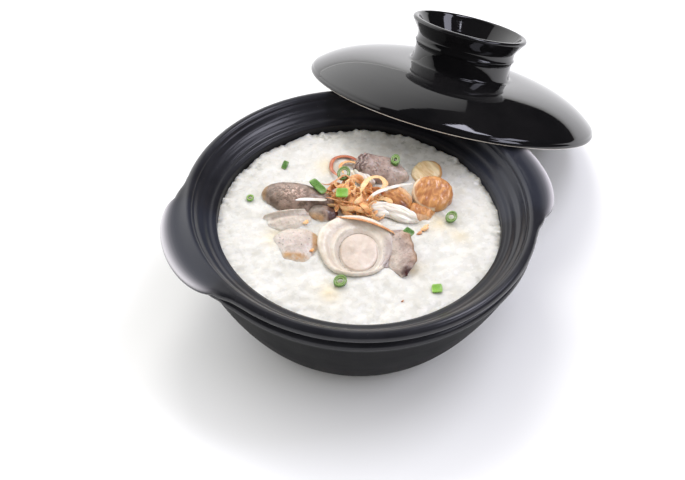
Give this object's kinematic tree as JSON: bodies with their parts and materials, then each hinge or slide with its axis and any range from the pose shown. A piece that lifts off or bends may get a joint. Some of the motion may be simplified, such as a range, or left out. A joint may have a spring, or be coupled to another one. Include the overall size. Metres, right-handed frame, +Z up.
{
  "type": "clay-pot congee",
  "caption": "Lidded stoneware pot of rice congee topped with abalone, dried scallop and fried shallots, its domed lid set down leaning on the rim.",
  "frame": {"origin": "centre of the pot's flat base, on the table", "axes": "+Z up along the pot's axis; the pot's two lugs point along +X and -X; the lid leans on the rim at the +X +Y side, and the toppings face the -Y side"},
  "size_m": [0.2809, 0.2717, 0.0963],
  "materials": {
    "stoneware": "satin",
    "black_glaze": "gloss",
    "congee": "satin",
    "abalone": "satin",
    "abalone_skin": "satin",
    "scallop": "satin",
    "white_meat": "satin",
    "fried_shallot": "satin",
    "spring_onion": "satin"
  },
  "bodies": {
    "root": {"pot": "stoneware", "lid": "black_glaze", "congee": "congee", "abalone_slice": "abalone", "abalone_dark": "abalone_skin", "abalone_back": "abalone_skin", "abalone_sunk": "abalone", "abalone_pale": "abalone", "scallop_right": "scallop", "scallop_rear": "scallop", "scallop_torn": "scallop", "scallop_under": "scallop", "meat_front": "white_meat", "meat_rear": "white_meat", "shallots": "fried_shallot"}
  },
  "joints": []
}
